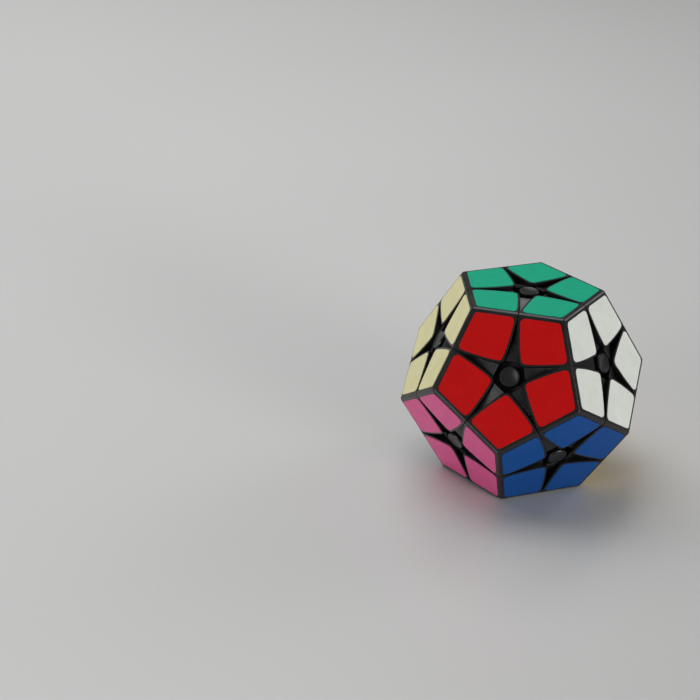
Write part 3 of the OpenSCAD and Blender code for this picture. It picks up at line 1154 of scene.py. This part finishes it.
@dataclass
class HubsAndCaps:
    """The twelve hubs and the round caps that close them.

    Args:
        puzzle: The shared shape.
        cap_radius: Radius of a cap.
        cap_thick: Thickness of its disc.
        cap_sink: Depth of its top below the plastic of the face.
        cap_bevel: Width of the bevel round its top.
        dish: Depth of the shallow dish in its top.
        plug_len: Length of the plug under the disc.
        post_radius: Radius of the post that carries the cap.
        pocket_radius: Radius of the pocket for spring and screw head.
        pocket_floor: Distance from the core to the pocket's floor.
        flange_top: Distance from the core to the flange's top.
        stem_base: Distance from the core to the stem's foot.
        bore_radius: Radius of the screw's bore.
        play: Small clearance between fixed and turning parts.
        flange_slack: How far the flange's underside stays inside its cone, in degrees.
        flange_round: Rounding at the flange's rim and at the post's root.
        chamfer: Chamfer of the post's top and of the plug's end.
        soft: Rounding of the cap's own sharp edges.
        dish_start: Width of the flat ring between the bevel and the dish.
        dish_end: Distance from the bevel to the level bottom of the dish.
        steps: Flats round a full turn.
    """

    puzzle: Puzzle
    cap_radius: float = 3.6 * MM
    cap_thick: float = 1.8 * MM
    cap_sink: float = 0.4 * MM
    cap_bevel: float = 0.35 * MM
    dish: float = 0.06 * MM
    plug_len: float = 2.0 * MM
    post_radius: float = 3.4 * MM
    pocket_radius: float = 2.6 * MM
    pocket_floor: float = 22.5 * MM
    flange_top: float = 28.6 * MM
    stem_base: float = 14.28 * MM
    bore_radius: float = 1.23 * MM
    play: float = 0.08 * MM
    flange_slack: float = 0.6
    flange_round: float = 0.5 * MM
    chamfer: float = 0.2 * MM
    soft: float = 0.08 * MM
    dish_start: float = 0.35 * MM
    dish_end: float = 0.5 * MM
    steps: int = 96

    def room(self, cut: Cut, height: float) -> float:
        """Radius that the neighbouring cuts leave round a face axis at a height."""
        slope = math.radians(self.puzzle.body.face_angle - cut.angle)
        return height * math.tan(slope) - self.puzzle.half_gap / math.cos(slope) - self.play

    def hub_profile(self) -> list[tuple[float, float]]:
        """Section of a hub: stem, flange with a hollow underside, post, pocket and bore."""
        puzzle = self.puzzle
        neck, foot = puzzle.neck_cut, puzzle.foot_cut
        seat = puzzle.neck_radius + puzzle.half_gap
        flange_low = math.radians(puzzle.body.face_angle - neck.angle - self.flange_slack)
        stem_high = math.asin(self.room(foot, puzzle.neck_radius) / seat)
        under = [
            (seat * math.sin(t), seat * math.cos(t))
            for t in (stem_high + (flange_low - stem_high) * i / 4 for i in range(5))
        ]
        rim = self.room(neck, self.flange_top)
        rounding, chamfer = self.flange_round, self.chamfer
        post_top = puzzle.body.face_dist - self.cap_sink - self.cap_thick
        return [
            (self.bore_radius, self.stem_base),
            (self.room(foot, self.stem_base), self.stem_base),
            *under,
            (self.room(neck, self.flange_top - rounding), self.flange_top - rounding),
            *arc((rim - rounding, self.flange_top - rounding), rounding * 0.97, 20, 90, 4),
            *arc((self.post_radius + rounding, self.flange_top + rounding), rounding, 270, 180, 4),
            (self.post_radius, post_top - chamfer),
            (self.post_radius - chamfer, post_top),
            (self.pocket_radius, post_top),
            (self.pocket_radius, self.pocket_floor),
            (self.bore_radius, self.pocket_floor),
        ]

    def cap_profile(self) -> list[tuple[float, float]]:
        """Section of a cap: plug, disc, polished bevel and shallow dish."""
        top = self.puzzle.body.face_dist - self.cap_sink
        low = top - self.cap_thick
        plug = self.pocket_radius - self.play
        soft, bevel = self.soft, self.cap_bevel
        lip = self.cap_radius - bevel
        return [
            (0.0, low - self.plug_len),
            (plug - self.chamfer, low - self.plug_len),
            (plug, low - self.plug_len + self.chamfer),
            (plug, low),
            *arc((self.cap_radius - soft, low + soft), soft, 270, 360, 3),
            (self.cap_radius, top - bevel - soft),
            (self.cap_radius - 0.25 * soft, top - bevel),
            (lip + 0.25 * soft, top - 0.25 * soft),
            (lip - soft, top),
            (lip - self.dish_start, top),
            (lip - self.dish_end, top - self.dish),
            (0.0, top - self.dish),
        ]

    def build(self, hub_finish: bpy.types.Material, cap_finish: bpy.types.Material) -> None:
        """Spins one hub and one cap and copies them to the twelve faces.

        Args:
            hub_finish: Material of the hubs, a black painted a little darker than the blocks' black as
                painted shade.
            cap_finish: Material of the caps, a black painted a little darker than the blocks' black as
                painted shade.
        """
        hub = lathe("hub_master", self.hub_profile(), self.steps, closed=True)
        cap = lathe("cap_master", self.cap_profile(), self.steps, closed=False)
        for master, finish in ((hub, hub_finish), (cap, cap_finish)):
            smooth(master, 30)
            master.data.materials.append(finish)
        for colour, place in zip(FaceColour, self.puzzle.body.face_places()):
            piece = copy_to(hub, f"hub_{colour.label}", place.matrix())
            self.puzzle.hand_over(piece, place, "hubs_", "hub_plastic")
            piece = copy_to(cap, f"face_cap_{colour.label}", place.matrix())
            self.puzzle.hand_over(piece, place, "caps_", "cap_plastic")
        LOG.info("twelve hubs and twelve caps in place")
        for master in (hub, cap):
            bpy.data.objects.remove(master)


@dataclass
class InnerHardware:
    """Core, screws, washers and springs, which keep their CAD shapes and get real finishes."""

    def build(self) -> None:
        """Dresses the four CAD nodes."""
        finishes = {
            "core": MouldedPlastic("natural_plastic", (0.62, 0.61, 0.56), (0.4, 0.55)),
            "screws": PlatedSteel("zinc_plate", (0.62, 0.62, 0.64)),
            "washers": PlatedSteel("stamped_steel", (0.58, 0.58, 0.60)),
            "springs": PlatedSteel("spring_wire", (0.50, 0.50, 0.53)),
        }
        for node, finish in finishes.items():
            piece = frame["nodes"][node]
            piece.data.materials.clear()
            piece.data.materials.append(finish.make())
            LOG.info("%s dressed", node)


@dataclass
class Studio:
    """Pale floor, soft light and the camera.

    Args:
        distance: From the puzzle's centre to the camera.
        azimuth: Where the camera stands, in degrees from -Y towards +X.
        elevation: Height of the camera over the horizon, in degrees.
        heading: Where it looks, in degrees from +Y towards +X.
        pitch: How far it looks up, in degrees.
        roll: How far it leans to its left, in degrees.
        lens: Focal length in millimetres on the 36 mm sensor.
        surroundings: Strength of the even light from all round.
        floor_size: Length of the floor's side.
    """

    distance: float = 0.6675
    azimuth: float = 7.706
    elevation: float = 26.06
    heading: float = -13.718
    pitch: float = -25.488
    roll: float = 2.284
    lens: float = 93.88
    surroundings: float = 0.1
    floor_size: float = 6.0

    def camera(self) -> None:
        """Stands the camera at its place."""
        data = bpy.data.cameras.new("camera")
        camera = bpy.data.objects.new("camera", data)
        bpy.context.scene.collection.objects.link(camera)
        around, up = math.radians(self.azimuth), math.radians(self.elevation)
        camera.location = self.distance * Vector(
            (math.sin(around) * math.cos(up), -math.cos(around) * math.cos(up), math.sin(up))
        )
        turn = Euler((math.radians(90 + self.pitch), 0, -math.radians(self.heading))).to_matrix()
        lean = Matrix.Rotation(math.radians(self.roll), 3, "Z")
        camera.rotation_euler = (turn @ lean).to_euler()
        data.lens = self.lens
        data.clip_start, data.clip_end = 0.01, 20
        bpy.context.scene.camera = camera

    def floor(self) -> None:
        """Lays a wide pale sheet under the puzzle."""
        bpy.ops.mesh.primitive_plane_add(size=self.floor_size, location=(0, 0, cad_low.z))
        floor = bpy.context.object
        floor.name = "studio_floor"
        nodes = Nodes("floor_paper")
        nodes.mottle(400 * MM, (0.60, 0.60, 0.595), (0.57, 0.57, 0.565), detail=2)
        nodes.shader.inputs["Roughness"].default_value = 0.32
        nodes.shader.inputs["Specular IOR Level"].default_value = 0.45
        floor.data.materials.append(nodes.material)

    def lamp(self, name: str, place: tuple, size: float, power: float, aim: tuple = (0, 0, 0)) -> None:
        """Hangs a soft square lamp.

        Args:
            name: Name of the lamp.
            place: Where it hangs.
            size: Length of its side.
            power: Power in watts.
            aim: The point it faces.
        """
        data = bpy.data.lights.new(name, "AREA")
        data.energy, data.size = power, size
        lamp = bpy.data.objects.new(name, data)
        bpy.context.scene.collection.objects.link(lamp)
        lamp.location = place
        lamp.rotation_euler = (Vector(aim) - Vector(place)).to_track_quat("-Z", "Y").to_euler()

    def build(self) -> None:
        """Sets up floor, lamps, surroundings and camera."""
        deselect_all()
        self.floor()
        self.lamp("overhead", (-0.47, 0.33, 0.75), 1.0, 8.6, (-0.47, 0.33, 0))
        self.lamp("front_left", (-0.70, -0.95, 0.20), 0.45, 4.2)
        self.lamp("front_right", (0.95, -0.67, 0.20), 0.45, 7.4)
        self.lamp("back_right", (0.80, 0.90, 0.60), 0.5, 2.5)
        world = bpy.data.worlds.new("surroundings")
        world.use_nodes = True
        background = world.node_tree.nodes["Background"]
        background.inputs["Color"].default_value = (1, 1, 1, 1)
        background.inputs["Strength"].default_value = self.surroundings
        bpy.context.scene.world = world
        bpy.context.scene.view_settings.view_transform = "Standard"
        self.camera()
        LOG.info("studio ready")


def main() -> None:
    """Builds the sub-assemblies in order."""
    logging.basicConfig(level=logging.INFO, format="%(name)s: %(message)s")
    puzzle = Puzzle()
    deselect_all()
    black = MouldedPlastic("black_plastic", (0.0045, 0.0045, 0.0048)).make()
    # The hidden edges' black is painted lighter than the blocks' black. This painted sheen makes the
    # edge tops down in the star's arms read grey.
    sheen_painted_edge_black = MouldedPlastic("edge_black_plastic", (0.008, 0.008, 0.0084), (0.28, 0.4)).make()
    # The hubs and caps get a black a little darker than the blocks' black. This is painted shade for
    # their sunk places in the middle of each star.
    shade_painted_hub_black = MouldedPlastic("hub_black_plastic", (0.004, 0.004, 0.0043), (0.35, 0.48)).make()
    shade_painted_cap_black = MouldedPlastic("cap_black_plastic", (0.004, 0.004, 0.0043), (0.3, 0.4)).make()
    CornerBlocks(puzzle).build(black)
    HiddenEdges(puzzle).build(sheen_painted_edge_black)
    HubsAndCaps(puzzle).build(shade_painted_hub_black, shade_painted_cap_black)
    Stickers(puzzle).build()
    InnerHardware().build()
    Studio().build()


if __name__ == "__main__":
    main()
